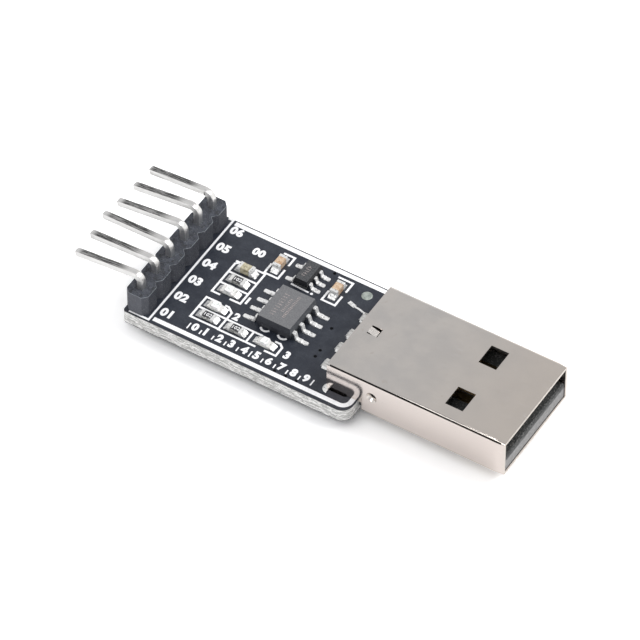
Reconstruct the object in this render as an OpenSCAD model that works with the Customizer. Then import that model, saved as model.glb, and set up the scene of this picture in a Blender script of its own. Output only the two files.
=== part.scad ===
// USB to serial adapter stick: a small circuit board with a bent six-pin header at one end
// and a folded-sheet USB-A plug at the other. All sizes are millimetres.
// Inside each module X runs from the header to the plug and is zero at the pin row, Y runs
// across the board and is zero on its centreline, and Z is zero on the board's top face.
// in_frame() then moves every piece so that the whole stands on Z = 0, centred on the origin.

/* [Board] */
// Length of the board, from the header edge to the plug edge
board_l = 25.4; // [24.6:0.1:32]
// How far the board stands out past the header block, on each side
board_rim = 0.28; // [0.1:0.02:2]
// Thickness of the board
board_t = 1.6; // [0.8:0.1:2.4]
// Radius of the two corners beside the plug
board_corner_r = 1.2; // [0.4:0.1:1.8]
// Radius of the two corners beside the header
board_nick_r = 0.3; // [0.1:0.05:0.8]
// Diameter of the small through holes between the copper layers
via_d = 0.35; // [0.2:0.05:0.5]
// Room round a pin or leg in its board hole, on each side
hole_gap = 0.05; // [0.02:0.01:0.15]

/* [Pin header] */
// Distance between neighbouring pins
pin_pitch = 2.54; // [2:0.02:2.54]
// Side of the square pins
pin_w = 0.64; // [0.5:0.02:0.7]
// Depth of the moulded block, along the board
block_d = 2.5; // [2.2:0.1:2.8]
// Height of the moulded block
block_h = 2.54; // [1.5:0.02:3]
// Flat width of a cell's two outer faces
cell_face = 1.45; // [1.1:0.05:1.8]
// Depth of the notch between two cells
cell_notch = 0.5; // [0.2:0.05:0.7]
// Room between a pin and its hole in the block
pin_fit = 0.01; // [0.01:0.01:0.03]
// Height of the pins' bent run over the board, at its highest
pin_top = 4.55; // [4.4:0.05:6]
// Distance from the pin row to the pin tips
pin_reach = 7.65; // [5:0.05:12]
// Inner radius of the bend
pin_bend_r = 0.45; // [0.3:0.05:0.7]
// Slope of the bent run down towards the tips, in degrees
pin_droop = 5; // [0:0.5:8]
// Length of the pin tails below the board
pin_tail = 1.1; // [0.6:0.1:3]
// Bevel on the pin tips
pin_bevel = 0.14; // [0.05:0.01:0.2]
// Radius of the solder fillets round the tails
tail_fillet_r = 0.4; // [0.2:0.05:0.5]

/* [Plug shell] */
// Length of the shell
plug_l = 19.65; // [17:0.05:24]
// Width of the shell
plug_w = 12; // [11.8:0.05:12.4]
// Height of the shell
plug_h = 4.5; // [4.3:0.05:4.8]
// Thickness of the sheet
sheet_t = 0.3; // [0.2:0.02:0.36]
// Outer radius of the four long folds
fold_r = 0.36; // [0.34:0.02:0.8]
// Length of the shell that lies over the board
plug_overlap = 3.4; // [3:0.05:3.8]
// Distance from the board's top face down to the shell's underside
plug_drop = 1.2; // [1:0.05:1.4]
// Length of the narrowed nose
nose_l = 0.9; // [0.5:0.05:1.4]
// How far the nose's edges come in
nose_in = 0.08; // [0.04:0.01:0.2]
// Length of a window, along the plug
window_l = 1.95; // [1.6:0.05:2.4]
// Width of a window, across the plug
window_w = 2.5; // [2:0.05:2.8]
// Distance between the centres of a pair of windows
window_span = 6.2; // [5.6:0.1:7]
// Distance from the windows' centres to the front edge
window_back = 6.5; // [5:0.1:8]
// Width of the slanting seam between the sheet's two edges, at one of the upper folds
seam_w = 0.18; // [0.08:0.02:0.24]
// Length of joined sheet in front of the seam
seam_land = 0.4; // [0.2:0.1:0.8]
// Side of the square lance that grips the insulator
lance_l = 1.15; // [0.8:0.05:1.4]
// Distance from the back edge to the lance
lance_back = 1.15; // [0.8:0.05:1.6]
// Slope of the lance down into the insulator, in degrees
lance_tilt = 19; // [5:1:24]
// Width of the cut round the lance
lance_cut = 0.17; // [0.1:0.01:0.2]
// Diameter of the pierced dimple in each side
dimple_d = 1.4; // [0.8:0.05:1.5]
// Depth of the dimple, from the outside
dimple_depth = 0.55; // [0.4:0.05:0.7]
// Distance from the back edge to the dimples
dimple_back = 5; // [4.5:0.1:6]
// Distance from the shell's underside up to the dimples
dimple_up = 2.6; // [2.2:0.1:3]
// Width of the legs that hold the shell in the board
leg_l = 1.5; // [1:0.1:1.8]
// Distance from the back edge to the legs
leg_back = 0.5; // [0.3:0.05:0.9]
// Length of the legs below the board
leg_tail = 0.7; // [0.4:0.1:1.1]
// Gap between the shell's lower parts and the board
shell_gap = 0.06; // [0.03:0.01:0.12]
// Gap between the board's end and the full height of the shell's sides
shell_step = 0.5; // [0.2:0.05:0.8]

/* [Plug inside] */
// Height of the free space over the tongue
mouth_h = 1.95; // [1.8:0.05:2.1]
// Length of the solid block behind the tongue
rear_l = 7.6; // [7:0.1:9]
// Distance from the shell's front edge back to the tongue
tongue_back = 0.1; // [0.05:0.05:0.6]
// Slope at the lower front edge of the tongue
tongue_chin = 0.1; // [0.05:0.05:0.6]
// Room between the insulator and the shell
insert_fit = 0.05; // [0.03:0.01:0.08]
// Width of a contact strip
contact_w = 1; // [0.8:0.05:1.1]
// Thickness of a contact strip
contact_t = 0.25; // [0.15:0.01:0.3]
// Distance between the two middle contacts
contact_inner = 2; // [1.8:0.05:2.2]
// Distance between the two outer contacts
contact_outer = 7; // [6.8:0.05:7.2]
// Distance from the tongue's front to the contacts
contact_back = 0.9; // [0.6:0.1:1.4]
// Distance from the shell's back edge to the toes of the contacts
toe_reach = 1.75; // [1.4:0.05:2]
// Length of a contact's foot on the board
foot_l = 0.7; // [0.5:0.05:0.8]
// Width of the solder round a foot
foot_fillet = 0.2; // [0.1:0.02:0.3]

/* [Chips] */
// Body of the eight-lead chip, along the board
bridge_l = 3.9; // [3.6:0.1:4.1]
// Body of the eight-lead chip, across the board
bridge_w = 4.9; // [4.7:0.1:5.1]
// Height of the eight-lead chip over the board
bridge_h = 1.55; // [1.2:0.05:1.8]
// Distance over the leads of the eight-lead chip
bridge_span = 6; // [5.8:0.1:6.4]
// Distance between its leads
bridge_pitch = 1.27; // [1.2:0.01:1.27]
// Body of the five-lead regulator, along the board
regulator_l = 1.6; // [1.5:0.05:1.8]
// Body of the five-lead regulator, across the board
regulator_w = 2.9; // [2.6:0.05:3]
// Height of the five-lead regulator over the board
regulator_h = 1.15; // [0.9:0.05:1.4]
// Distance over the leads of the regulator
regulator_span = 2.9; // [2.7:0.05:3.1]
// Distance between its leads
regulator_pitch = 0.95; // [0.9:0.01:1]
// Width of a chip lead
lead_w = 0.42; // [0.3:0.02:0.5]
// Thickness of a chip lead
lead_t = 0.18; // [0.12:0.02:0.22]
// Gap between a chip's body and the board
chip_gap = 0.1; // [0.05:0.01:0.15]
// How far a chip's faces slope in, above and below its leads
chip_draft = 0.12; // [0.05:0.01:0.2]

/* [Small parts] */
// Length of the two-ended parts
small_l = 1.6; // [1.4:0.05:1.7]
// Width of the two-ended parts
small_w = 0.85; // [0.7:0.05:0.95]
// Height of a resistor
resistor_h = 0.45; // [0.3:0.05:0.6]
// Height of a capacitor
capacitor_h = 0.8; // [0.6:0.05:1]
// Height of an LED
led_h = 0.6; // [0.4:0.05:0.8]
// Height of an LED's base
led_base_h = 0.25; // [0.15:0.01:0.32]
// Length of a metal end
end_l = 0.32; // [0.2:0.02:0.45]
// Thickness of the metal on an end
end_t = 0.03; // [0.02:0.01:0.05]
// Reach of the solder past a metal end
fillet_l = 0.45; // [0.2:0.05:0.5]

/* [Hidden] */
$fn = 48;

// How far a cutting shape runs past the face that it cuts
past = 1;
// Thickness of the slices that the sloping forms are drawn between
slice = 0.01;

// Header: the row has six pins, and the block is flush with the board's end
pin_count = 6;
row_w = pin_count * pin_pitch;
board_w = row_w + 2 * board_rim;
bend_r = pin_bend_r + pin_w / 2;
// What each pin's hand bending adds to the slope and to the height, and takes off the reach
pin_lean = [1.2, -2.2, -4, 2.5, 2.5, -0.5];
pin_rise = [-0.15, -0.25, -0.15, 0.15, 0.25, 0];
pin_trim = [0.1, 0.2, 0, 0, 0.25, 0.5];
pin_hole_r = pin_w / sqrt(2) + hole_gap;
tail_z = -board_t - pin_tail;

// Ends of the board and of the plug
board_x0 = -block_d / 2;
board_x1 = board_x0 + board_l;
plug_x0 = board_x1 - plug_overlap;
plug_x1 = plug_x0 + plug_l;
plug_z0 = -plug_drop;
plug_z1 = plug_z0 + plug_h;

// Shell
nose_x = plug_x1 - nose_l;
window_x = plug_x1 - window_back;
lance_x = plug_x0 + lance_back;
dimple_x = plug_x0 + dimple_back;
dimple_z = plug_z0 + dimple_up;
dimple_hole_r = dimple_d / 4;
wall_y = plug_w / 2 - sheet_t / 2;
leg_x = plug_x0 + leg_back + leg_l / 2;
slot_r = sheet_t / 2 + 2 * hole_gap + 0.1;
leg_land_r = 0.7;
leg_land_h = 0.16;
seam_reach = fold_r + sheet_t;

// Insulator and contacts
insert_x0 = plug_x0 + 0.15;
rear_x1 = plug_x0 + rear_l;
tongue_x1 = plug_x1 - tongue_back;
tongue_z1 = plug_z1 - sheet_t - mouth_h;
tongue_bevel = 0.15;
contact_x1 = tongue_x1 - contact_back;
contact_places = [-contact_outer / 2, -contact_inner / 2, contact_inner / 2, contact_outer / 2];
contact_fit = 0.02;
toe_x = plug_x0 - toe_reach;

// Places of the chips and of the two-ended parts: middle in X, as a share of the distance from
// the pin row to the plug's back edge, middle in Y, and turn about Z
bridge_at = [0.61446, -0.4];
regulator_at = [0.57108, 5];
capacitor_at = [[0.30361, 2.62, 0], [0.41446, 5.08, 90], [0.73012, 5.1, 90]];
resistor_at = [[0.30361, 1.03, 0], [0.30361, -4.4, 0], [0.45783, -4.42, 0]];
led_at = [[0.30361, -0.5, 0], [0.30361, -2.92, 0], [0.61687, -4.42, 0]];
via_at = [
    [0.82892, 0.7], [0.6588, 7], [0.85542, -2.3], [0.85542, -3.2],
    [0.74217, -6.85], [0.80241, -6.85], [0.86024, -6.85]
];

// Box of the whole part
middle_x = (plug_x1 - pin_reach) / 2;
lowest_z = min(tail_z, plug_z0, -board_t - leg_tail);

module in_frame() {
    translate([-middle_x, 0, -lowest_z]) children();
}

// Puts a piece at its place on the board
module on_board(place) {
    translate([place.x * plug_x0, place.y, 0]) children();
}

// Box given by its two corners
module box(low, high) {
    translate(low) cube(high - low);
}

// What a square corner loses when it is rounded, with the corner at the origin
module corner_waste(r) {
    difference() {
        square([r, r]);
        translate([r, r]) circle(r);
    }
}

// Board outline, seen from above
module board_outline() {
    difference() {
        translate([board_x0, -board_w / 2]) square([board_l, board_w]);
        for (side = [0, 1]) mirror([0, side]) {
            translate([board_x0, -board_w / 2]) corner_waste(board_nick_r);
            translate([board_x1, -board_w / 2]) mirror([1, 0]) corner_waste(board_corner_r);
        }
    }
}

// Slot for a shell leg, seen from above
module leg_slot() {
    square([leg_l, 2 * slot_r], center = true);
    for (end = [-1, 1]) translate([end * leg_l / 2, 0]) circle(slot_r);
}

module pcb() {
    color([0.14, 0.15, 0.19])
    in_frame()
    translate([0, 0, -board_t])
    difference() {
        linear_extrude(board_t) board_outline();
        for (n = [1 : pin_count])
            translate([0, pin_y(n), -past]) cylinder(r = pin_hole_r, h = board_t + 2 * past);
        for (place = via_at)
            translate([place.x * plug_x0, place.y, -past]) cylinder(d = via_d, h = board_t + 2 * past);
        for (side = [-1, 1])
            translate([leg_x, side * wall_y, -past]) linear_extrude(board_t + 2 * past) leg_slot();
    }
}

// Place of pin n across the board
function pin_y(n) = (n - (pin_count + 1) / 2) * pin_pitch;

// One long side of the block: a notch, then a flat face, for each cell
function cell_edge(face_x, notch_x) = [
    for (n = [1 : pin_count])
        each [
            [notch_x, pin_y(n) - pin_pitch / 2],
            [face_x, pin_y(n) - cell_face / 2],
            [face_x, pin_y(n) + cell_face / 2]
        ],
    [notch_x, row_w / 2]
];

function reversed(list) = [for (i = [len(list) - 1 : -1 : 0]) list[i]];

module header_block() {
    hole_w = pin_w + 2 * pin_fit;
    front = cell_edge(block_d / 2, block_d / 2 - cell_notch);
    back = cell_edge(-block_d / 2, cell_notch - block_d / 2);
    color([0.17, 0.17, 0.18])
    in_frame()
    difference() {
        linear_extrude(block_h) polygon(concat(front, reversed(back)));
        for (n = [1 : pin_count])
            translate([-hole_w / 2, pin_y(n) - hole_w / 2, -past]) cube([hole_w, hole_w, block_h + 2 * past]);
    }
}

// Bent run of a pin from the side, along +X, with bevelled tip
module run_side(run_l) {
    half = pin_w / 2;
    polygon([
        [0, -half], [run_l - pin_bevel, -half], [run_l, pin_bevel - half],
        [run_l, half - pin_bevel], [run_l - pin_bevel, half], [0, half]
    ]);
}

// One pin: tail and upright leg, bend, and run towards the end of the board
module header_pin(n) {
    angle = 90 + pin_droop + pin_lean[n - 1];
    bend_z = pin_top + pin_rise[n - 1] - pin_bend_r - pin_w;
    run_x = -bend_r + bend_r * cos(angle);
    run_z = bend_z + bend_r * sin(angle);
    reach = pin_reach - pin_trim[n - 1];
    run_l = (run_x + reach + cos(angle) * (pin_w / 2 - pin_bevel)) / sin(angle);
    color([0.72, 0.72, 0.71])
    in_frame()
    translate([0, pin_y(n), 0]) {
        box([-pin_w / 2, -pin_w / 2, tail_z], [pin_w / 2, pin_w / 2, bend_z]);
        translate([-bend_r, 0, bend_z]) rotate([90, 0, 0])
            rotate_extrude(angle = angle) translate([bend_r, 0]) square(pin_w, center = true);
        translate([run_x, 0, run_z]) rotate([0, -90 - angle, 0]) intersection() {
            rotate([90, 0, 0]) translate([0, 0, -pin_w]) linear_extrude(2 * pin_w) run_side(run_l);
            translate([0, 0, -pin_w]) linear_extrude(2 * pin_w) run_side(run_l);
        }
    }
}

module header_solder() {
    outer_r = pin_hole_r + tail_fillet_r;
    color([0.75, 0.75, 0.74])
    in_frame()
    for (n = [1 : pin_count])
        translate([0, pin_y(n), -board_t]) difference() {
            mirror([0, 0, 1]) rotate_extrude() difference() {
                square([outer_r, tail_fillet_r]);
                translate([outer_r, tail_fillet_r]) circle(tail_fillet_r);
            }
            translate([0, 0, -pin_tail / 2]) cube([pin_w, pin_w, pin_tail + past], center = true);
        }
}

// Section of the plug, seen along it, with its outer face moved in
module plug_section(inset) {
    r = max(fold_r - inset, 0.04);
    difference() {
        translate([inset - plug_w / 2, plug_z0 + inset]) square([plug_w - 2 * inset, plug_h - 2 * inset]);
        for (side = [0, 1]) mirror([side, 0]) {
            translate([inset - plug_w / 2, plug_z0 + inset]) corner_waste(r);
            translate([inset - plug_w / 2, plug_z1 - inset]) mirror([0, 1]) corner_waste(r);
        }
    }
}

// Bar with the plug's section between two places along X
module plug_bar(x0, x1, inset) {
    translate([x0, 0, 0]) rotate([90, 0, 90]) linear_extrude(x1 - x0) plug_section(inset);
}

// Narrowed end of a bar, from the start of the nose to the front edge
module plug_nose(inset) {
    hull() {
        plug_bar(nose_x, nose_x + slice, inset);
        plug_bar(plug_x1 - slice, plug_x1, inset + nose_in);
    }
}

// Sheet sleeve: straight part and nose
module shell_sleeve() {
    difference() {
        plug_bar(plug_x0, nose_x + slice, 0);
        plug_bar(plug_x0 - past, nose_x + past, sheet_t);
    }
    difference() {
        plug_nose(0);
        plug_nose(sheet_t);
        translate([slice, 0, 0]) plug_bar(plug_x1 - 2 * slice, plug_x1, sheet_t + nose_in);
    }
}

// Cuts in the sleeve: room for the board, windows, seam, lance and dimple holes
module shell_cuts() {
    wide = plug_w / 2 + past;
    step_x = board_x1 + shell_step;
    box([plug_x0 - past, -wide, plug_z0 - past], [step_x, wide, shell_gap]);
    for (side = [-1, 1])
        translate([window_x, side * window_span / 2, plug_z0 - past])
            translate([-window_l / 2, -window_w / 2, 0]) cube([window_l, window_w, plug_h + 2 * past]);
    translate([plug_x0 - past, -plug_w / 2, plug_z1]) rotate([-45, 0, 0])
        box([0, -seam_reach, -seam_w / 2], [plug_l + past - seam_land, seam_reach, seam_w / 2]);
    box([lance_x, -lance_l / 2, plug_z1 - 2 * sheet_t], [lance_x + lance_l, lance_l / 2, plug_z1 + past]);
    translate([dimple_x, 0, dimple_z]) rotate([90, 0, 0])
        cylinder(d = dimple_d, h = 2 * wide, center = true);
}

// Tongue of sheet bent down inside the lance's opening, joined at its back edge
module lance_tongue() {
    translate([lance_x, 0, plug_z1]) rotate([0, lance_tilt, 0])
        box([-sheet_t / 2, lance_cut - lance_l / 2, -sheet_t],
            [lance_l - lance_cut, lance_l / 2 - lance_cut, 0]);
}

// Funnel drawn inwards round a dimple's hole
module dimple_funnel() {
    rotate([90, 0, 0]) rotate_extrude() polygon([
        [dimple_d / 2, -sheet_t], [dimple_hole_r + sheet_t / 2, -dimple_depth],
        [dimple_hole_r, -dimple_depth], [dimple_hole_r, sheet_t / 2 - dimple_depth],
        [dimple_d / 2 - sheet_t / 3, 0], [dimple_d / 2 + sheet_t / 3, 0],
        [dimple_d / 2 + sheet_t / 3, -sheet_t]
    ]);
}

module usb_shell() {
    color([0.72, 0.70, 0.67])
    in_frame() {
        difference() {
            shell_sleeve();
            difference() {
                shell_cuts();
                lance_tongue();
            }
        }
        difference() {
            lance_tongue();
            translate([lance_x + lance_l / 2, 0, plug_z1 + past / 2])
                cube([2 * lance_l, lance_l, past], center = true);
        }
        for (side = [0, 1]) mirror([0, side, 0]) {
            translate([dimple_x, -plug_w / 2, dimple_z]) dimple_funnel();
            box([leg_x - leg_l / 2, plug_w / 2 - sheet_t, -board_t - leg_tail],
                [leg_x + leg_l / 2, plug_w / 2, shell_gap + sheet_t]);
        }
    }
}

// Insulator from the side: block over the board, block behind the tongue, tongue
module insulator_side() {
    low = plug_z0 + sheet_t;
    polygon([
        [insert_x0, shell_gap], [board_x1 + shell_gap, shell_gap], [board_x1 + shell_gap, low],
        [tongue_x1 - tongue_chin, low], [tongue_x1, low + tongue_chin],
        [tongue_x1, tongue_z1 - tongue_bevel], [tongue_x1 - tongue_bevel, tongue_z1],
        [rear_x1, tongue_z1], [rear_x1, plug_z1], [insert_x0, plug_z1]
    ]);
}

module usb_insulator() {
    wide = plug_w / 2;
    channel_w = contact_w + 2 * contact_fit;
    pocket_r = dimple_d / 2 + sheet_t / 3 + insert_fit;
    pocket_y = plug_w / 2 - dimple_depth - 2 * insert_fit;
    lance_low = plug_z1 - sheet_t - lance_l * sin(lance_tilt) - 2 * insert_fit;
    color([0.1, 0.1, 0.11])
    in_frame()
    difference() {
        intersection() {
            union() {
                plug_bar(insert_x0, nose_x, sheet_t + insert_fit);
                plug_bar(nose_x - slice, tongue_x1, sheet_t + insert_fit + nose_in);
            }
            translate([0, wide, 0]) rotate([90, 0, 0]) linear_extrude(plug_w) insulator_side();
        }
        for (y = contact_places)
            box([insert_x0 - past, y - channel_w / 2, tongue_z1 - contact_t - contact_fit],
                [contact_x1 + contact_fit, y + channel_w / 2, tongue_z1 + contact_fit]);
        box([lance_x - insert_fit, -lance_l / 2, lance_low], [lance_x + lance_l, lance_l / 2, plug_z1]);
        for (side = [0, 1]) mirror([0, side, 0])
            translate([dimple_x, pocket_y, dimple_z]) rotate([-90, 0, 0])
                cylinder(r = pocket_r, h = plug_w);
        for (side = [0, 1]) mirror([0, side, 0])
            box([leg_x - leg_l / 2 - insert_fit, plug_w / 2 - sheet_t - insert_fit, 0],
                [leg_x + leg_l / 2 + insert_fit, wide, shell_gap + sheet_t]);
    }
}

// Contact from the side: strip on the tongue, slope behind the shell, foot on the board
module contact_side() {
    edge = [
        [toe_x, contact_t], [toe_x + foot_l, contact_t],
        [plug_x0 - contact_t / 2, tongue_z1], [contact_x1, tongue_z1]
    ];
    polygon(concat(edge, [for (p = reversed(edge)) [p.x, p.y - contact_t]]));
}

module usb_contact(n) {
    color([0.8, 0.72, 0.5])
    in_frame()
    translate([0, contact_places[n - 1] + contact_w / 2, 0]) rotate([90, 0, 0])
        linear_extrude(contact_w) contact_side();
}

module contact_solder() {
    color([0.78, 0.78, 0.77])
    in_frame()
    for (y = contact_places) {
        translate([0, y + contact_w / 2, 0]) rotate([90, 0, 0]) linear_extrude(contact_w)
            polygon([[toe_x - foot_fillet, 0], [toe_x, 0], [toe_x, contact_t]]);
        for (side = [0, 1]) translate([0, y, 0]) mirror([0, side, 0])
            translate([toe_x, 0, 0]) rotate([90, 0, 90]) linear_extrude(foot_l)
                polygon([[contact_w / 2, 0], [contact_w / 2 + foot_fillet, 0], [contact_w / 2, contact_t]]);
    }
}

// Solder round a leg: a mound below the board, and a small one at the wall's back corner
module leg_solder() {
    mound_h = leg_tail * 0.6;
    color([0.78, 0.78, 0.77])
    in_frame()
    for (side = [0, 1]) mirror([0, side, 0]) {
        difference() {
            hull() {
                translate([leg_x, wall_y, -board_t - slice]) linear_extrude(slice) offset(0.3) leg_slot();
                translate([leg_x, wall_y, -board_t - mound_h]) linear_extrude(slice)
                    square([leg_l + 0.1, sheet_t + 0.1], center = true);
            }
            box([leg_x - leg_l / 2, plug_w / 2 - sheet_t, -board_t - leg_tail - past],
                [leg_x + leg_l / 2, plug_w / 2, 0]);
        }
        difference() {
            translate([plug_x0 + leg_land_r / 2, plug_w / 2, 0])
                cylinder(r1 = leg_land_r, r2 = leg_land_r - leg_land_h, h = leg_land_h);
            box([plug_x0, plug_w / 2 - leg_land_r - past, -past],
                [plug_x0 + leg_l + past, plug_w / 2, plug_h]);
            box([plug_x0 + leg_land_r / 2, 0, -past], [plug_x0 + leg_l + past, plug_w, plug_h]);
        }
    }
}

// Moulded chip body standing on its leads: straight band at the leads, sloping above and below
module chip_body(l, w, h) {
    band_z = (h + chip_gap - lead_t) / 2;
    module layer(z, shrink) {
        translate([0, 0, z]) linear_extrude(slice) square([l - 2 * shrink, w - 2 * shrink], center = true);
    }
    translate([-l / 2, -w / 2, band_z]) cube([l, w, lead_t]);
    hull() {
        layer(chip_gap, chip_draft);
        layer(band_z, 0);
    }
    hull() {
        layer(band_z + lead_t - slice, 0);
        layer(h - slice, chip_draft);
    }
}

// Gull-wing lead on the +X side of a chip: out of the band, down, and a foot on the board
module chip_lead(l, h, span) {
    band_z = (h + chip_gap + lead_t) / 2;
    room = (span - l) / 2;
    edge = [
        [l / 2, band_z], [l / 2 + room * 0.3, band_z],
        [l / 2 + room * 0.48, lead_t], [span / 2, lead_t]
    ];
    lower = [
        [span / 2, 0], [l / 2 + room * 0.36, 0],
        [l / 2 + room * 0.18, band_z - lead_t], [l / 2, band_z - lead_t]
    ];
    translate([0, lead_w / 2, 0]) rotate([90, 0, 0]) linear_extrude(lead_w)
        polygon(concat(edge, lower));
}

module bridge_chip_body() {
    color([0.3, 0.3, 0.32])
    in_frame()
    on_board(bridge_at) chip_body(bridge_l, bridge_w, bridge_h);
}

module bridge_chip_leads() {
    color([0.78, 0.78, 0.78])
    in_frame()
    on_board(bridge_at) for (side = [0, 1]) mirror([side, 0, 0])
        for (row = [-1.5 : 1.5])
            translate([0, row * bridge_pitch, 0]) chip_lead(bridge_l, bridge_h, bridge_span);
}

module regulator_body() {
    color([0.18, 0.18, 0.19])
    in_frame()
    on_board(regulator_at) chip_body(regulator_l, regulator_w, regulator_h);
}

module regulator_leads() {
    color([0.78, 0.78, 0.78])
    in_frame()
    on_board(regulator_at) {
        for (row = [-1, 0, 1])
            translate([0, row * regulator_pitch, 0]) chip_lead(regulator_l, regulator_h, regulator_span);
        for (row = [-1, 1])
            translate([0, row * regulator_pitch, 0]) mirror([1, 0, 0])
                chip_lead(regulator_l, regulator_h, regulator_span);
    }
}

// Puts a small part at its place, turned as it should be
module placed(place) {
    in_frame() on_board(place) rotate([0, 0, place.z]) children();
}

// Core of a two-ended part, inside its metal ends
module small_core(h) {
    translate([end_t - small_l / 2, end_t - small_w / 2, end_t])
        cube([small_l - 2 * end_t, small_w - 2 * end_t, h - 2 * end_t]);
}

// The two metal ends, wrapped round the core
module small_ends(h) {
    difference() {
        for (side = [0, 1]) mirror([side, 0, 0])
            translate([small_l / 2 - end_l, -small_w / 2, 0]) cube([end_l, small_w, h]);
        small_core(h);
    }
}

module capacitor_body(n) {
    color([0.72, 0.58, 0.42]) placed(capacitor_at[n - 1]) small_core(capacitor_h);
}

module capacitor_ends(n) {
    color([0.8, 0.8, 0.79]) placed(capacitor_at[n - 1]) small_ends(capacitor_h);
}

module resistor_body(n) {
    color([0.25, 0.25, 0.26]) placed(resistor_at[n - 1]) small_core(resistor_h);
}

module resistor_ends(n) {
    color([0.8, 0.8, 0.79]) placed(resistor_at[n - 1]) small_ends(resistor_h);
}

module led_base(n) {
    color([0.9, 0.88, 0.8])
    placed(led_at[n - 1])
    translate([end_l - small_l / 2, -small_w / 2, 0]) cube([small_l - 2 * end_l, small_w, led_base_h]);
}

// Clear moulding on the base, with its two ends sloping in
module led_lens(n) {
    foot = small_l / 2 - end_l;
    top = foot - chip_draft;
    color([0.95, 0.95, 0.9])
    placed(led_at[n - 1])
    translate([0, small_w / 2, 0]) rotate([90, 0, 0]) linear_extrude(small_w)
        polygon([[-foot, led_base_h], [foot, led_base_h], [top, led_h], [-top, led_h]]);
}

module led_ends(n) {
    color([0.85, 0.8, 0.6])
    placed(led_at[n - 1])
    for (side = [0, 1]) mirror([side, 0, 0])
        translate([small_l / 2 - end_l, -small_w / 2, 0]) cube([end_l, small_w, led_base_h]);
}

// Solder ramps at the two ends of one small part
module end_ramps(place, h) {
    placed(place)
    for (side = [0, 1]) mirror([side, 0, 0])
        translate([0, small_w / 2, 0]) rotate([90, 0, 0]) linear_extrude(small_w)
            polygon([[small_l / 2, 0], [small_l / 2 + fillet_l, 0], [small_l / 2, h]]);
}

module parts_solder() {
    color([0.78, 0.78, 0.77]) {
        for (place = capacitor_at) end_ramps(place, capacitor_h / 2);
        for (place = resistor_at) end_ramps(place, resistor_h * 0.8);
        for (place = led_at) end_ramps(place, led_base_h);
    }
}

pcb();
header_block();
header_solder();
for (n = [1 : pin_count])
    header_pin(n);
usb_shell();
usb_insulator();
leg_solder();
contact_solder();
for (n = [1 : 4])
    usb_contact(n);
bridge_chip_body();
bridge_chip_leads();
regulator_body();
regulator_leads();
for (n = [1 : 3]) {
    capacitor_body(n);
    capacitor_ends(n);
    resistor_body(n);
    resistor_ends(n);
    led_base(n);
    led_lens(n);
    led_ends(n);
}
parts_solder();
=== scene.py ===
"""A USB to serial adapter stick: bare dark board, six bent header pins and a folded-sheet USB-A plug.

Every place is given in millimetres on the board: X from the pin row towards the plug, Y across the
board from its centreline, Z up from its top face. spot() turns that into the frame's metres.
"""

import math

import bmesh
import bpy
from mathutils import Matrix, Vector


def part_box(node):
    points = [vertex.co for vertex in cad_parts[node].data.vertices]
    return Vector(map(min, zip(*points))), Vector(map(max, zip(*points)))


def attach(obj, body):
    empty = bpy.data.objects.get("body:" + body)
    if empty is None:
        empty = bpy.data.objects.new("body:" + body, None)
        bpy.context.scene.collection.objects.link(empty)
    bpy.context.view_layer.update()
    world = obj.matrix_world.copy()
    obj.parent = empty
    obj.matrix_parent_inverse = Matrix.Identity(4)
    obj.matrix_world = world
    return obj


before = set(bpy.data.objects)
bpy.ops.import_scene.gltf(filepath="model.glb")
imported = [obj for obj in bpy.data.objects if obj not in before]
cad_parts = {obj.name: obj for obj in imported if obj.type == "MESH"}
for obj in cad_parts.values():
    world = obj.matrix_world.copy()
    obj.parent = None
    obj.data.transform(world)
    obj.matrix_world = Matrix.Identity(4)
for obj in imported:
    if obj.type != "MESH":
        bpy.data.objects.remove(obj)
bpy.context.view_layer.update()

scene = bpy.context.scene
scene.view_settings.view_transform = "Standard"
MM = 0.001


class Wire:
    """The output of a shader node. Sums, differences and products of wires add Math nodes."""

    def __init__(self, finish, socket):
        self.finish = finish
        self.socket = socket

    def maths(self, operation, *values):
        """One Math node on the values."""
        return self.finish.node("ShaderNodeMath", {"operation": operation}, values)

    def __add__(self, other):
        return self.maths("ADD", self, other)

    def __sub__(self, other):
        return self.maths("SUBTRACT", self, other)

    def __rsub__(self, other):
        return self.maths("SUBTRACT", other, self)

    def __mul__(self, other):
        return self.maths("MULTIPLY", self, other)

    __radd__ = __add__
    __rmul__ = __mul__

    def between(self, low, high):
        """0 below low, 1 above high, and a smooth step from one to the other."""
        return self.finish.node("ShaderNodeMapRange", {"interpolation_type": "SMOOTHSTEP"},
                                {"Value": self, "From Min": low, "From Max": high})

    def split(self, axis):
        """The X, Y or Z of a place or a direction."""
        return self.finish.node("ShaderNodeSeparateXYZ", {}, {"Vector": self}, output=axis)


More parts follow.
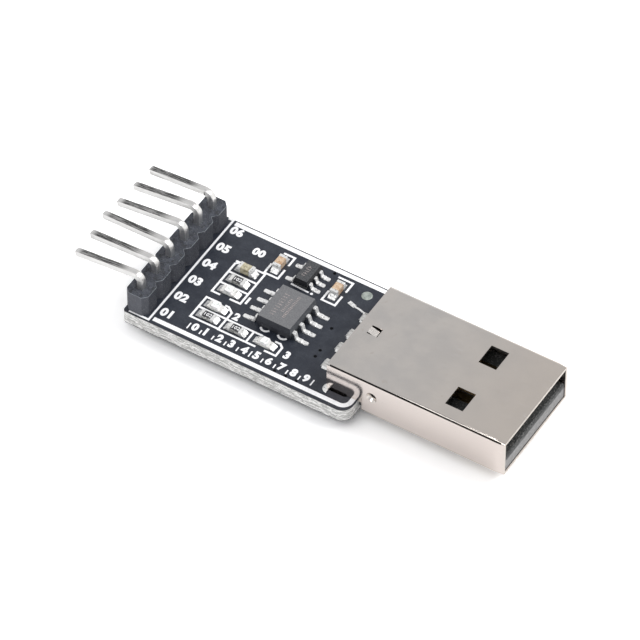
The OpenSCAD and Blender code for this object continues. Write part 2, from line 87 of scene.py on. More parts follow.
class Finish:
    """The nodes of one material, or of the sky."""

    def __init__(self, owner, end="ShaderNodeOutputMaterial"):
        owner.use_nodes = True
        self.owner = owner
        self.tree = owner.node_tree
        self.tree.nodes.clear()
        self.end = self.tree.nodes.new(end)

    def node(self, kind, settings=None, inputs=(), output=0):
        """Adds one node, with its settings first and then the values or wires of its inputs."""
        made = self.tree.nodes.new(kind)
        for name, value in (settings or {}).items():
            setattr(made, name, value)
        for key, value in inputs.items() if isinstance(inputs, dict) else enumerate(inputs):
            if isinstance(value, Wire):
                self.tree.links.new(value.socket, made.inputs[key])
            else:
                made.inputs[key].default_value = value
        return Wire(self, made.outputs[output])

    def coords(self, stretch=(1, 1, 1)):
        """Place on the object in millimetres, with each direction multiplied by stretch."""
        place = self.node("ShaderNodeTexCoord", output="Object")
        return self.node("ShaderNodeVectorMath", {"operation": "MULTIPLY"},
                         (place, [s / MM for s in stretch]))

    def place(self, axis):
        """Place along an axis of the frame, in millimetres."""
        return self.coords().split(axis)

    def facing(self, axis):
        """How far the surface looks along an axis of the frame, from -1 to 1."""
        return self.node("ShaderNodeTexCoord", output="Normal").split(axis)

    def noise(self, scale, detail=2.0, rough=0.5, stretch=(1, 1, 1)):
        """Cloudy pattern with scale lumps to the millimetre."""
        return self.node("ShaderNodeTexNoise", {}, {"Vector": self.coords(stretch), "Scale": scale,
                                                    "Detail": detail, "Roughness": rough})

    def mix(self, amount, first, second):
        """Colour that goes from the first to the second as amount goes from 0 to 1."""
        return self.node("ShaderNodeMix", {"data_type": "RGBA"},
                         {0: amount, 6: colour(first), 7: colour(second)}, output=2)

    def bump(self, height, depth):
        """Dents and ridges up to depth millimetres."""
        return self.node("ShaderNodeBump", {}, {"Height": height, "Distance": depth * MM, "Strength": 1.0})

    def close(self, shader):
        """Ends the material in a shader."""
        self.tree.links.new(shader.socket, self.end.inputs["Surface"])
        return self.owner

    def surface(self, **sockets):
        """Ends the material in its surface shader; socket names are written with underscores."""
        named = {name.replace("_", " "): value for name, value in sockets.items()}
        return self.close(self.node("ShaderNodeBsdfPrincipled", {}, named))


def colour(value):
    """A wire as it is, or a plain colour with its alpha."""
    return value if isinstance(value, Wire) else (*value, 1.0)


def new_finish(name):
    """A new material, with no nodes yet but its output."""
    return Finish(bpy.data.materials.new(name))


camera = bpy.data.objects.new("camera", bpy.data.cameras.new("camera"))
scene.collection.objects.link(camera)
scene.camera = camera
camera.data.sensor_width = 36.0
camera.data.lens = 367.72
camera.data.clip_start = 0.02
camera_at = Vector((0.221233, -0.361311, 0.470398))
aim = Vector((-0.000703, 0.001040, 0.0027))
camera_roll = math.radians(0.246)
look = (camera_at - aim).to_track_quat("Z", "Y").to_matrix().to_4x4()
camera.matrix_world = Matrix.Translation(camera_at) @ look @ Matrix.Rotation(camera_roll, 4, "Z")

sky = Finish(bpy.data.worlds.new("sky"), "ShaderNodeOutputWorld")
scene.world = sky.owner
height = sky.node("ShaderNodeTexCoord", output="Generated").split("Z")
horizon, room, ceiling = (1.0, 1.0, 1.0), (0.60, 0.60, 0.61), (0.34, 0.34, 0.36)
sky_colour = sky.mix(height.between(0.1, 0.72), horizon, room)
sky_colour = sky.mix(height.between(0.86, 0.97), sky_colour, ceiling)
sky.close(sky.node("ShaderNodeBackground", {}, {"Color": sky_colour, "Strength": 1.0}))

for name, place, size, energy in (
    ("lamp_front", (-0.05, -0.3, 0.65), 0.5, 1.5),
    ("lamp_right", (0.36, 0.27, 0.55), 0.3, 2.6),
):
    lamp = bpy.data.objects.new(name, bpy.data.lights.new(name, "AREA"))
    scene.collection.objects.link(lamp)
    lamp.data.size = size
    lamp.data.energy = energy
    lamp.matrix_world = (Matrix.Translation(place)
                         @ Vector(place).to_track_quat("Z", "Y").to_matrix().to_4x4())

table_white = new_finish("table_white")
paper, bleach = (0.9, 0.9, 0.9, 1.0), (0.38, 0.38, 0.38, 1.0)
lit = table_white.node("ShaderNodeBsdfDiffuse", {}, {"Color": paper})
added = table_white.node("ShaderNodeBsdfDiffuse", {}, {"Color": bleach})
bleached = table_white.node("ShaderNodeAddShader", {}, (lit, added))
seen = table_white.node("ShaderNodeLightPath", output="Is Camera Ray")
table_white.close(table_white.node("ShaderNodeMixShader", {}, (seen, lit, bleached)))
table_radius = 6.0
bm = bmesh.new()
bmesh.ops.create_circle(bm, cap_ends=True, radius=table_radius, segments=64)
mesh = bpy.data.meshes.new("table")
bm.to_mesh(mesh)
bm.free()
table = bpy.data.objects.new("table", mesh)
scene.collection.objects.link(table)
mesh.materials.append(table_white.owner)

# Board. Woven glass and resin, 1.6 mm thick, under a dark blue-black solder mask on both faces.
# Its routed edges are bare: pale, grainy, with the glass layers showing as fine lines. The mask is
# glossy and follows the copper below it, which shows as faintly raised paths.
board_low, board_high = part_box("pcb")
board_top = board_high.z
row_inset = 1.25
row_x = board_low.x + row_inset * MM


def spot(x, y, z=0.0):
    """Place in the frame of a place on the board that is given in millimetres."""
    return Vector((row_x + x * MM, y * MM, board_top + z * MM))


joined_within = 0.0005
sharp_angle = math.radians(35)


def soften(node, width, segments=2):
    """Joins a CAD node's loose faces and rounds its sharp edges by width millimetres."""
    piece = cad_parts[node]
    weld = piece.modifiers.new("joined", "WELD")
    weld.merge_threshold = joined_within * MM
    rounding = piece.modifiers.new("edges", "BEVEL")
    rounding.width = width * MM
    rounding.segments = segments
    rounding.limit_method = "ANGLE"
    rounding.angle_limit = sharp_angle
    rounding.use_clamp_overlap = True
    rounding.harden_normals = True


def dress(node, material):
    """Gives a CAD node one material."""
    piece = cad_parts[node]
    piece.data.materials.clear()
    piece.data.materials.append(material)


def finished(name, bm, material):
    """Makes a piece that rides on the object from what has been built in bm."""
    mesh = bpy.data.meshes.new(name)
    bm.to_mesh(mesh)
    bm.free()
    piece = bpy.data.objects.new(name, mesh)
    scene.collection.objects.link(piece)
    mesh.materials.append(material)
    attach(piece, "root")
    return piece


board = new_finish("board")
upward = board.facing("Z")
flat = upward.maths("ABSOLUTE", upward).between(0.4, 0.6)
level = board.place("Z")
cloud = board.noise(0.9, 4.0, 0.6)
grit = board.noise(7.0, 4.0, 0.7)
mask_colour = board.mix(cloud.between(0.35, 0.7), (0.018, 0.022, 0.034), (0.036, 0.042, 0.056))
mask_colour = board.mix(grit.between(0.42, 0.62) * 0.55, mask_colour, (0.010, 0.014, 0.022))
mask_colour = board.mix(grit.between(0.60, 0.70) * 0.45, mask_colour, (0.13, 0.15, 0.16))
glass = board.noise(2.2, 5.0, 0.7, (0.6, 0.6, 3.0))
turns_per_mm = 30.0
layers = level.maths("SINE", level * turns_per_mm) * 0.5 + 0.5
edge_colour = board.mix(glass.between(0.40, 0.62), (0.44, 0.44, 0.43), (0.93, 0.92, 0.91))
edge_colour = board.mix(layers * 0.25, edge_colour, (0.50, 0.50, 0.46))
specks = board.noise(5.0, 4.0, 0.75, (0.7, 0.7, 1.6))
edge_colour = board.mix(specks.between(0.56, 0.64) * 0.8, edge_colour, (0.16, 0.16, 0.15))
left, right, side = board_low.x / MM, board_high.x / MM, board_high.y / MM
under, over = board_low.z / MM, board_high.z / MM
film = level.between(over - 0.12, over - 0.08) + (1 - level.between(under + 0.06, under + 0.10))
edge_colour = board.mix(film, edge_colour, (0.03, 0.034, 0.04))
along, across = board.place("X"), board.place("Y")
# Side faces inside the outline, the walls of the holes and slots, are near black: painted shade.
inner = along.between(left + 0.4, left + 0.6) * (1 - along.between(right - 0.4, right - 0.3))
inner = inner * (1 - across.maths("ABSOLUTE", across).between(side - 0.5, side - 0.4))
edge_colour = board.mix(inner, edge_colour, (0.02, 0.022, 0.026))
board_colour = board.mix(flat, edge_colour, mask_colour)
shine = 0.62 - flat * 0.27 + grit * 0.1
relief = (board.noise(0.9, 2.0, 0.5) + grit) * flat + (glass + specks) * (1 - flat) * 3.0
board.surface(Base_Color=board_colour, Roughness=shine, Normal=board.bump(relief, 0.014))
dress("pcb", board.owner)
soften("pcb", 0.03)

# Print on the board. White ink, about 0.02 mm thick, screened on over the mask: the line in front
# of the header, a wide band along each long edge, a box round each small part, and plain numbers.
ink = new_finish("ink")
worn = ink.noise(5.0, 4.0, 0.6)
ink_colour = ink.mix(worn.between(0.3, 0.5), (0.80, 0.82, 0.85), (0.96, 0.96, 0.97))
ink.surface(Base_Color=ink_colour, Roughness=0.5 + worn * 0.2, Normal=ink.bump(worn, 0.01))
ink_height = 0.02
line_w = 0.22
band_w = 0.5
hair = 0.0004
mitre_limit = 0.4


def stroke(bm, points, width=line_w, height=ink_height):
    """Printed line through the points: an edge laid across the start and extruded from corner to corner.

    Each line lies a hair higher than the one before it, so that no two faces coincide where they cross.
    """
    height += hair * (len(bm.faces) % 40)
    steps = [(Vector(b) - Vector(a)).normalized() for a, b in zip(points, points[1:])]
    edge = None
    for n, point in enumerate(points):
        back, ahead = steps[max(n - 1, 0)], steps[min(n, len(steps) - 1)]
        across = (back + ahead).normalized().orthogonal()
        half = width / 2 / max(across.dot(ahead.orthogonal()), mitre_limit)
        end = (n == len(points) - 1) - (n == 0)
        middle = Vector(point) + ahead * end * width / 2
        places = [spot(*(middle + across * side * half), height) for side in (-1, 1)]
        if edge is None:
            pair = [bm.verts.new(place) for place in places]
            edge = bm.edges.new(pair)
            continue
        grown = bmesh.ops.extrude_edge_only(bm, edges=[edge])["geom"]
        edge = next(item for item in grown if isinstance(item, bmesh.types.BMEdge))
        fresh = {v for v in grown if isinstance(v, bmesh.types.BMVert)}
        pair = [next(e.other_vert(v) for e in v.link_edges if e.other_vert(v) in fresh) for v in pair]
        for vert, place in zip(pair, places):
            vert.co = place


def thicken(bm, depth):
    """Gives flat print its thickness, downwards, and turns every face outwards."""
    grown = bmesh.ops.extrude_face_region(bm, geom=list(bm.faces))["geom"]
    lower = [v for v in grown if isinstance(v, bmesh.types.BMVert)]
    bmesh.ops.translate(bm, vec=(0, 0, -depth * MM), verts=lower)
    bmesh.ops.recalc_face_normals(bm, faces=bm.faces)


def arc(centre, radius, start, end, steps=10):
    """Points of an arc, with its angles in degrees."""
    turns = [math.radians(start + (end - start) * n / steps) for n in range(steps + 1)]
    return [(centre[0] + radius * math.cos(t), centre[1] + radius * math.sin(t)) for t in turns]


def figures(bm, text, corner, cap, height=ink_height, z=0.0, bold=0.055, spread=1.08):
    """Plain figures of cap height cap, flat on the board, with their lower left corner at corner."""
    words = bpy.data.curves.new("figures", "FONT")
    words.body = text
    words.offset = bold
    words.space_character = spread
    words.resolution_u = 4
    words.extrude = 0.5
    holder = bpy.data.objects.new("figures", words)
    mesh = bpy.data.meshes.new_from_object(holder)
    low = [min(v.co[i] for v in mesh.vertices) for i in range(3)]
    top = max(v.co.y for v in mesh.vertices)
    mesh.transform(Matrix.Translation([-c for c in low]))
    scale = cap * MM / (top - low[1])
    size = Matrix.Diagonal((scale, scale, height * MM, 1.0))
    mesh.transform(Matrix.Translation(spot(*corner, z)) @ size)
    bm.from_mesh(mesh)
    bpy.data.objects.remove(holder)
    bpy.data.meshes.remove(mesh)
    bpy.data.curves.remove(words)


bm = bmesh.new()
stroke(bm, [(-0.57, -7.65), (1.56, -7.65), (1.56, 7.76), (1.12, 7.76)])
near_band = [(2.15, -7.3), (22.9, -7.3)] + arc((22.9, -6.45), 0.85, -90, 0)[1:] + [(23.75, -6.0)]
stroke(bm, near_band, band_w)
stroke(bm, [(2.2, 7.5), (20.9, 7.5)], band_w)
for row in (3.35, 1.8, 0.2):
    stroke(bm, [(4.75, row), (8.0, row)])
stroke(bm, [(4.75, -1.25), (5.6, -1.25)])
stroke(bm, [(6.9, -1.25), (8.0, -1.25), (8.0, 3.35), (7.9, 3.48)])
stroke(bm, [(4.75, -1.25), (4.75, 3.0), (5.1, 3.35)])
stroke(bm, [(5.6, -2.2), (4.75, -2.2), (4.75, -5.15), (7.95, -5.15), (7.95, -2.7), (7.3, -2.2),
            (7.0, -2.2)])
stroke(bm, [(4.75, -3.65), (7.95, -3.65)])
stroke(bm, [(7.95, -3.65), (12.0, -3.65)])
stroke(bm, [(7.95, -5.2), (12.1, -5.2)])
stroke(bm, [(11.1, -3.65), (11.1, -5.2)])
stroke(bm, [(13.6, -3.65), (14.1, -3.65), (14.5, -4.0), (14.5, -5.2), (13.3, -5.2)])
stroke(bm, [(7.8, 4.74), (7.8, 3.48), (9.35, 3.48), (9.35, 4.7)])
stroke(bm, [(9.35, 5.55), (9.35, 6.67), (8.2, 6.67)])
stroke(bm, [(14.4, 4.66), (14.4, 3.4), (15.9, 3.4), (15.9, 4.67)])
stroke(bm, [(15.92, 5.52), (15.92, 6.78), (14.36, 6.78)])
stroke(bm, arc((11.78, -2.5), 0.55, 220, 320), 0.22)
stroke(bm, arc((13.75, -2.5), 0.55, 220, 320), 0.22)
stroke(bm, [(10.88, 3.6), (12.75, 3.5)], 0.2)
bmesh.ops.create_circle(bm, cap_ends=True, segments=20, radius=0.15 * MM,
                        matrix=Matrix.Translation(spot(13.18, 3.51, ink_height)))
tick_pitch, tick_w, long_tick = 1.4, 0.14, 0.25
for n in range(11):
    tick_x = 5.3 + n * tick_pitch
    stroke(bm, [(tick_x, -6.6), (tick_x, -6.2 + long_tick * (n % 5 == 0))], tick_w)
thicken(bm, ink_height)
pin_pitch = 2.54
for n in range(6):
    figures(bm, f"0{6 - n}", (1.95, (2.5 - n) * pin_pitch - 0.2), 1.1)
figures(bm, "00", (5.3, 4.95), 1.0)
figures(bm, "1", (8.3, -1.0), 0.95)
figures(bm, "2", (8.3, -3.35), 0.95)
figures(bm, "3", (15.1, -5.05), 1.0)
for n in range(10):
    figures(bm, str(n), (5.6 + n * tick_pitch, -6.6), 1.0)
finished("print", bm, ink.owner)

# Solder lands. Tinned copper, left bare of mask, with smooth bright solder drawn out over them.
# They show beyond the toes of the chips' leads and beside the plug's contacts, with one stray run
# of solder and one round pad that has only its thin, dull tin.
solder = new_finish("solder")
lumps = solder.noise(1.6, 3.0, 0.6)
painted_reflection_flecks = solder.noise(5.0, 3.0, 0.6)
# The dark flecks in the bright solder are painted reflection.
solder_colour = solder.mix(painted_reflection_flecks.between(0.55, 0.66), (0.95, 0.95, 0.94), (0.22, 0.22, 0.22))
solder.surface(Base_Color=solder_colour, Metallic=0.55, Roughness=0.2 + painted_reflection_flecks * 0.25,
               Normal=solder.bump(lumps, 0.12))


def land(bm, x0, x1, y, width, height=0.09):
    """Land along X with its solder, domed and rounded at the corners."""
    place = Matrix.Translation(spot((x0 + x1) / 2, y, height / 2))
    size = Matrix.Diagonal((abs(x1 - x0) * MM, width * MM, height * MM, 1.0))
    made = bmesh.ops.create_cube(bm, size=1.0, matrix=place @ size)
    top = {v for v in made["verts"] if v.co.z > spot(0, 0, height / 2).z}
    upright = {e for v in made["verts"] for e in v.link_edges
               if (e.verts[0] in top) != (e.verts[1] in top)}
    bmesh.ops.bevel(bm, geom=list(upright), offset=width * 0.3 * MM, segments=3, profile=0.5,
                    affect="EDGES", material=-1)


bm = bmesh.new()
bridge_x, bridge_y = 12.75, -0.4
lead_pitch, land_w = 1.27, 0.46
contact_land_w, contact_land_height = 1.2, 0.05
for n in range(4):
    y = bridge_y + (n - 1.5) * lead_pitch
    land(bm, 9.04, 10.3, y, land_w)
    land(bm, 15.2, 16.4, y, land_w)
for y in (4.05, 5.95):
    land(bm, 9.9, 10.75, y, land_w)
for y in (4.05, 5.0, 5.95):
    land(bm, 12.95, 13.8, y, land_w)
for y in (-3.5, -1.0, 1.0, 3.5):
    land(bm, 18.95, 20.6, y, contact_land_w, contact_land_height)
rim = [e for e in bm.edges if len(e.link_faces) == 2 and e.calc_face_angle() > 0.6
       and min(v.co.z for v in e.verts) > spot(0, 0, 0.03).z]
bmesh.ops.bevel(bm, geom=rim, offset=0.04 * MM, segments=3, profile=0.6, affect="EDGES", material=-1)
finished("solder_lands", bm, solder.owner)

bm = bmesh.new()
pad_radius, pad_flatness = 0.56, 0.22
bmesh.ops.create_uvsphere(bm, u_segments=32, v_segments=16, radius=pad_radius * MM)
bmesh.ops.bisect_plane(bm, geom=bm.verts[:] + bm.edges[:] + bm.faces[:], plane_co=(0, 0, 0),
                       plane_no=(0, 0, -1), clear_outer=True)
bmesh.ops.contextual_create(bm, geom=[e for e in bm.edges if e.is_boundary])
bmesh.ops.scale(bm, vec=(1, 1, pad_flatness), verts=bm.verts)
bmesh.ops.translate(bm, vec=spot(17.9, 6.12), verts=bm.verts)
pad = new_finish("pad_tin")
cast = pad.noise(3.0, 4.0, 0.7)
pad_colour = pad.mix(cast.between(0.4, 0.65), (0.42, 0.46, 0.42), (0.24, 0.27, 0.25))
pad.surface(Base_Color=pad_colour, Metallic=0.3, Roughness=0.4 + cast * 0.2, Normal=pad.bump(cast, 0.02))
finished("round_pad", bm, pad.owner)
bm = bmesh.new()
stroke(bm, [(16.97, 4.47), (17.6, 4.28), (18.3, 4.18), (19.1, 3.94)], 0.2, 0.06)
stroke(bm, [(17.05, 4.44), (17.45, 4.32)], 0.42, 0.07)
run_depth = 0.065
thicken(bm, run_depth)
finished("solder_run", bm, solder.owner)
for node in ("parts_solder", "contact_solder", "leg_solder", "header_solder"):
    dress(node, solder.owner)
    soften(node, 0.05, 3)

# Header block. Black filled nylon, moulded as six joined cells with a notch between each pair.
# It is matt charcoal, torn darker in patches on top, with pale scuffs and a painted highlight on its
# edges, and painted light and shade on its faces.
block = new_finish("header_plastic")
scuffs = block.noise(2.2, 5.0, 0.65)
pits = block.noise(8.0, 3.0, 0.6)
toward_plug, toward_far, upward = (block.facing(axis) for axis in "XYZ")
block_colour = block.mix(scuffs.between(0.35, 0.7), (0.028, 0.032, 0.044), (0.068, 0.076, 0.096))
# Painted shade: the faces towards the plug are darker.
block_colour = block.mix(toward_plug.between(0.5, 0.9) * 0.8, block_colour, (0.018, 0.021, 0.031))
# Painted light: the near faces are lighter.
near_face = 1 - toward_far.between(-0.9, -0.3)
block_colour = block.mix(near_face * 0.6, block_colour, (0.115, 0.12, 0.14))
torn = block.noise(1.4, 4.0, 0.75)
patches = torn.between(0.52, 0.60) * upward.between(0.8, 0.95)
block_colour = block.mix(patches * 0.75, block_colour, (0.010, 0.011, 0.015))
# The sloped edges are paler: scuffs and a painted highlight.
scuffs_and_painted_highlight = upward.between(0.3, 0.5) * (1 - upward.between(0.8, 0.95))
block_colour = block.mix(scuffs_and_painted_highlight * scuffs.between(0.3, 0.5), block_colour, (0.30, 0.33, 0.36))
block_colour = block.mix(pits.between(0.60, 0.70) * 0.7, block_colour, (0.24, 0.25, 0.26))
rough_skin = block.bump(pits * 2.0 + scuffs * 2.0 + torn * 3.0, 0.05)
block.surface(Base_Color=block_colour, Roughness=0.45 + scuffs * 0.25, Normal=rough_skin)
dress("header_block", block.owner)
soften("header_block", 0.05, 2)

# Header pins. Square brass wire under dull tin plate, bent over and cropped to a blunt point.
# Drawing and bending leave dark lengthwise streaks on the faces; the dark tops and tips are painted
# reflection with some stain.
tin = new_finish("pin_tin")
drawn = tin.noise(2.2, 4.0, 0.7, (0.3, 4, 1))
streaks = drawn.between(0.36, 0.6)
upward, toward_plug, along = tin.facing("Z"), tin.facing("X"), tin.place("X")
straight = (1 - along.between(-19.2, -17.6)) * along.between(-23.7, -23.0)
# The dark tops and end faces stand for what the pins mirror in the photograph, as well as stains.
stains_and_painted_reflection = upward.between(0.9, 0.97) * straight
pin_colour = tin.mix(streaks * 0.25, (0.90, 0.89, 0.87), (0.5, 0.5, 0.49))
pin_colour = tin.mix(stains_and_painted_reflection * (0.45 + streaks * 0.55), pin_colour, (0.075, 0.075, 0.075))
pin_colour = tin.mix(1 - toward_plug.between(-0.8, -0.4), pin_colour, (0.12, 0.11, 0.10))
tin.surface(Base_Color=pin_colour, Metallic=1.0, Roughness=0.24 + drawn * 0.15,
            Normal=tin.bump(drawn, 0.015))
for n in range(1, 7):
    dress(f"header_pin_{n}", tin.owner)
    soften(f"header_pin_{n}", 0.025, 2)

# Plug shell. 0.3 mm steel strip under satin nickel, folded round the insulator and joined along
# one side, with two windows and a grip lance in the top and a pierced dimple in each side.
nickel = new_finish("shell_nickel")
grain = nickel.noise(6.0, 4.0, 0.7, (0.25, 1, 1))
haze = nickel.noise(0.35, 3.0, 0.5)
nickel_colour = nickel.mix(haze.between(0.3, 0.7), (0.79, 0.745, 0.70), (0.71, 0.68, 0.65))
stains = nickel.noise(1.3, 5.0, 0.7)
nickel_colour = nickel.mix(stains.between(0.60, 0.72) * 0.5, nickel_colour, (0.66, 0.60, 0.55))
# Painted light: the shell's colour turns warmer towards the front.
nickel_colour = nickel.mix(nickel.place("X").between(8.0, 26.0) * 0.7, nickel_colour, (0.76, 0.68, 0.60))
# Painted reflection: the near side is pinker.
near_side = 1 - nickel.facing("Y").between(-0.9, -0.4)
nickel_colour = nickel.mix(near_side * 0.8, nickel_colour, (0.745, 0.67, 0.63))
fine = nickel.noise(5.0, 3.0, 0.6, (0.12, 1.6, 1.6))
nickel_colour = nickel.mix(fine.between(0.62, 0.72) * 0.4, nickel_colour, (0.88, 0.85, 0.83))
nickel.surface(Base_Color=nickel_colour, Metallic=1.0, Roughness=0.13 + grain * 0.1 - near_side * 0.07,
               Normal=nickel.bump(grain, 0.003))
dress("usb_shell", nickel.owner)
soften("usb_shell", 0.05, 2)

# Plug insulator. Black glass-filled nylon pressed into the shell: a solid block at the back and a
# tongue in the mouth, matt and finely speckled; its front face is painted paler as painted light.
nylon = new_finish("plug_plastic")
fibre = nylon.noise(7.0, 4.0, 0.7)
nylon_colour = nylon.mix(fibre.between(0.50, 0.66), (0.022, 0.024, 0.024), (0.17, 0.17, 0.165))
# Painted light: the front faces of the tongue are paler.
front = nylon.facing("X").between(0.3, 0.6) * nylon.place("X").between(20.0, 21.0)
front = front * (1 - nylon.place("Z").between(3.0, 3.3))
painted_lit_front = nylon.mix(fibre.between(0.4, 0.65), (0.20, 0.195, 0.195), (0.33, 0.33, 0.33))
nylon_colour = nylon.mix(front, nylon_colour, painted_lit_front)
nylon.surface(Base_Color=nylon_colour, Roughness=0.45 + fibre * 0.2, Normal=nylon.bump(fibre, 0.02))
dress("usb_insulator", nylon.owner)
soften("usb_insulator", 0.05, 2)

# Plug contacts. Stamped phosphor bronze with a thin gold flash, lying in channels in the tongue.
# Their tails, bent down to the board, are silvery with tin.
gold = new_finish("contact_gold")
rubbed = gold.noise(2.0, 4.0, 0.6, (0.3, 2, 1))
gold_colour = gold.mix(rubbed.between(0.4, 0.7), (0.42, 0.32, 0.17), (0.34, 0.28, 0.19))
tail_colour = gold.mix(rubbed.between(0.45, 0.7), (0.88, 0.87, 0.84), (0.45, 0.44, 0.42))
gold_colour = gold.mix(1 - gold.place("X").between(5.0, 7.0), gold_colour, tail_colour)
gold.surface(Base_Color=gold_colour, Metallic=1.0, Roughness=0.22 + rubbed * 0.15,
             Normal=gold.bump(rubbed, 0.005))
for n in range(1, 5):
    dress(f"usb_contact_{n}", gold.owner)

# Bridge chip. Eight-lead moulded package: grey epoxy, matt from the mould on top, with a round
# mark at the first lead and faint plain dashes for print, on bent tin-plated leads.
epoxy = new_finish("chip_epoxy")
mould = epoxy.noise(7.0, 4.0, 0.65)
upward = epoxy.facing("Z")
epoxy_colour = epoxy.mix(mould.between(0.35, 0.7), (0.135, 0.137, 0.145), (0.185, 0.187, 0.192))
# Painted shade and highlight: the sides are darker, the near one darkest, and the rounded edges lighter.
rim = upward.between(0.35, 0.6) * (1 - upward.between(0.9, 0.98))
epoxy_colour = epoxy.mix(1 - upward.between(0.3, 0.8), epoxy_colour, (0.075, 0.080, 0.090))
epoxy_colour = epoxy.mix(1 - epoxy.facing("Y").between(-0.85, -0.5), epoxy_colour, (0.020, 0.022, 0.030))
epoxy_colour = epoxy.mix(rim * 0.7, epoxy_colour, (0.27, 0.28, 0.29))
epoxy.surface(Base_Color=epoxy_colour, Roughness=0.5 + mould * 0.2, Normal=epoxy.bump(mould, 0.012))
dress("bridge_chip_body", epoxy.owner)
soften("bridge_chip_body", 0.025, 2)

mark = new_finish("chip_mark")
faded = mark.noise(9.0, 3.0, 0.6)
mark_colour = mark.mix(faded.between(0.4, 0.6), (0.20, 0.185, 0.185), (0.42, 0.36, 0.345))
mark.surface(Base_Color=mark_colour, Roughness=0.65, Normal=mark.bump(faded, 0.005))
bm = bmesh.new()
bridge_top = (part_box("bridge_chip_body")[1].z - board_top) / MM


mark_height = 0.008


def dash(bm, x, y, z, length, width):
    """Faint mark on a chip's top, with its length across the board."""
    size = Matrix.Diagonal((width * MM, length * MM, mark_height * MM, 1.0))
    bmesh.ops.create_cube(bm, size=1.0, matrix=Matrix.Translation(spot(x, y, z)) @ size)


for n in range(9):
    dash(bm, bridge_x - 0.75, bridge_y - 1.5 + n * 0.36, bridge_top, 0.07, 0.52)
    dash(bm, bridge_x - 0.06, bridge_y - 0.7 + n * 0.22, bridge_top, 0.07, 0.3)
for n in range(16):
    dash(bm, bridge_x + 0.42 + 0.04 * (n % 2), bridge_y - 1.3 + n * 0.2, bridge_top, 0.09, 0.3)
finished("chip_marks", bm, mark.owner)

tin_leads = new_finish("tin_leads")
plate = tin_leads.noise(5.0, 3.0, 0.6)
lead_colour = tin_leads.mix(plate.between(0.5, 0.7), (0.93, 0.93, 0.92), (0.42, 0.42, 0.42))
tin_leads.surface(Base_Color=lead_colour, Metallic=0.4, Roughness=0.25 + plate * 0.2,
                  Normal=tin_leads.bump(plate, 0.01))
for node in ("bridge_chip_leads", "regulator_leads"):
    dress(node, tin_leads.owner)
    soften(node, 0.03, 2)

# Regulator. Small five-lead moulded package of darker epoxy, standing on bent tin-plated leads,
# with a few faint plain dashes on its top.
dark_epoxy = new_finish("regulator_epoxy")
mould = dark_epoxy.noise(8.0, 4.0, 0.65)
upward = dark_epoxy.facing("Z")
dark_colour = dark_epoxy.mix(mould.between(0.35, 0.65), (0.030, 0.032, 0.036), (0.085, 0.088, 0.092))
# Painted shade and highlight: the sides are darker and the rounded edges lighter.
dark_colour = dark_epoxy.mix(1 - upward.between(0.3, 0.8), dark_colour, (0.012, 0.013, 0.016))
rim = upward.between(0.35, 0.6) * (1 - upward.between(0.9, 0.98))
dark_colour = dark_epoxy.mix(rim * 0.6, dark_colour, (0.16, 0.16, 0.17))
dark_epoxy.surface(Base_Color=dark_colour, Roughness=0.5 + mould * 0.2,
                   Normal=dark_epoxy.bump(mould, 0.012))
dress("regulator_body", dark_epoxy.owner)
soften("regulator_body", 0.02, 2)
bm = bmesh.new()
regulator_top = (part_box("regulator_body")[1].z - board_top) / MM
regulator_x = 11.75
for n in range(5):
    dash(bm, regulator_x + 0.05 * (n % 2), 4.3 + n * 0.3, regulator_top, 0.06, 0.42)
    dash(bm, regulator_x + 0.2 * (n % 3 - 1), 4.38 + n * 0.3, regulator_top, 0.16, 0.06)
finished("regulator_marks", bm, mark.owner)

# Capacitors. Fired ceramic blocks, two tan and the one nearest the header olive, with dipped
# silver-coloured tin ends, which the resistors share.
ceramic = new_finish("capacitor_ceramic")
fired = ceramic.noise(2.6, 4.0, 0.7)
olive = 1 - ceramic.place("X").between(-9.5, -8.5)
tan = ceramic.mix(fired.between(0.35, 0.6), (0.44, 0.25, 0.13), (0.66, 0.52, 0.38))
beige = ceramic.mix(fired.between(0.35, 0.6), (0.26, 0.22, 0.13), (0.56, 0.52, 0.38))
ceramic.surface(Base_Color=ceramic.mix(olive, tan, beige), Roughness=0.35 + fired * 0.2,
                Normal=ceramic.bump(fired, 0.01))
ends = new_finish("part_ends")
dipped = ends.noise(4.0, 3.0, 0.6)
ends_colour = ends.mix(dipped.between(0.57, 0.66), (0.84, 0.84, 0.83), (0.24, 0.25, 0.24))
ends.surface(Base_Color=ends_colour, Metallic=0.5, Roughness=0.2 + dipped * 0.25,
             Normal=ends.bump(dipped, 0.05))
for n in range(1, 4):
    dress(f"capacitor_{n}_body", ceramic.owner)
    dress(f"capacitor_{n}_ends", ends.owner)
    dress(f"resistor_{n}_ends", ends.owner)
    soften(f"capacitor_{n}_ends", 0.06, 3)
    soften(f"resistor_{n}_ends", 0.05, 3)

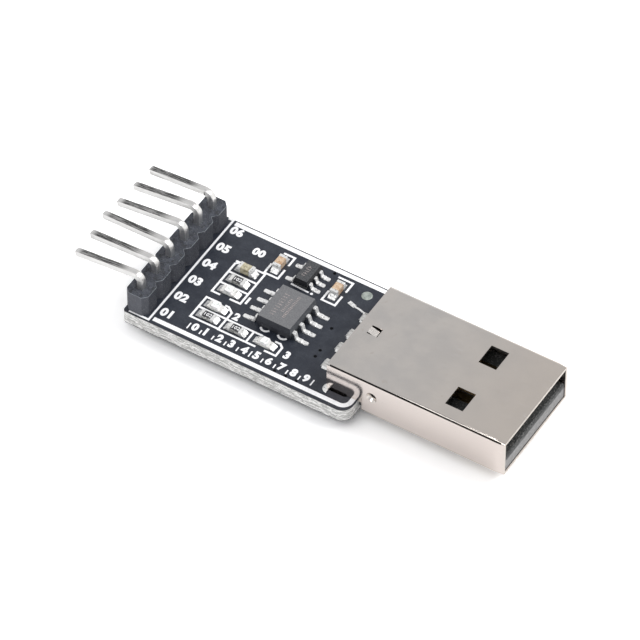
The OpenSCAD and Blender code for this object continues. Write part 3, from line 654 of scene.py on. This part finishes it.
# Resistors. White alumina chips with a black glass coat on top and a plain number printed on it,
# soldered by the dipped tin ends.
resistor = new_finish("resistor_ceramic")
upward = resistor.facing("Z")
coat = resistor.noise(5.0, 3.0, 0.6)
glaze = resistor.mix(coat.between(0.35, 0.7), (0.02, 0.02, 0.022), (0.055, 0.055, 0.057))
alumina = resistor.mix(coat.between(0.4, 0.6), (0.62, 0.62, 0.60), (0.14, 0.145, 0.14))
resistor.surface(Base_Color=resistor.mix(upward.between(0.4, 0.6), alumina, glaze),
                 Roughness=0.3 + coat * 0.2, Normal=resistor.bump(coat, 0.008))
bm = bmesh.new()
resistor_top = (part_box("resistor_1_body")[1].z - board_top) / MM
figure_cap, figure_half_w, paint_height = 0.42, 0.36, 0.01
for x, y in ((6.3, 1.03), (6.3, -4.4), (9.5, -4.42)):
    corner = (x - figure_half_w, y - figure_cap / 2)
    figures(bm, "102", corner, figure_cap, height=paint_height, z=resistor_top, bold=0.01)
finished("resistor_numbers", bm, ink.owner)
for n in range(1, 4):
    dress(f"resistor_{n}_body", resistor.owner)

# LEDs. A clear moulding, milky white, on a slip of pale laminate with gold-flashed ends, soldered
# by the ends like the other small parts.
laminate = new_finish("led_laminate")
weave = laminate.noise(6.0, 3.0, 0.6)
laminate.surface(Base_Color=laminate.mix(weave.between(0.52, 0.68), (0.90, 0.90, 0.87), (0.45, 0.48, 0.46)),
                 Roughness=0.5 + weave * 0.1, Normal=laminate.bump(weave, 0.01))
lens = new_finish("led_epoxy")
milk = lens.noise(4.0, 4.0, 0.6)
lens.surface(Base_Color=lens.mix(milk.between(0.36, 0.52), (0.66, 0.71, 0.68), (0.97, 0.95, 0.95)),
             Roughness=0.12 + milk * 0.15, Normal=lens.bump(milk, 0.03), Coat_Weight=0.5)
flash = new_finish("led_gold")
thin = flash.noise(4.0, 3.0, 0.6)
flash.surface(Base_Color=flash.mix(thin.between(0.55, 0.68), (0.95, 0.94, 0.91), (0.35, 0.36, 0.34)),
              Metallic=0.5, Roughness=0.2 + thin * 0.2, Normal=flash.bump(thin, 0.02))
for n in range(1, 4):
    dress(f"led_{n}_base", laminate.owner)
    dress(f"led_{n}_lens", lens.owner)
    dress(f"led_{n}_ends", flash.owner)
    soften(f"led_{n}_lens", 0.06, 3)
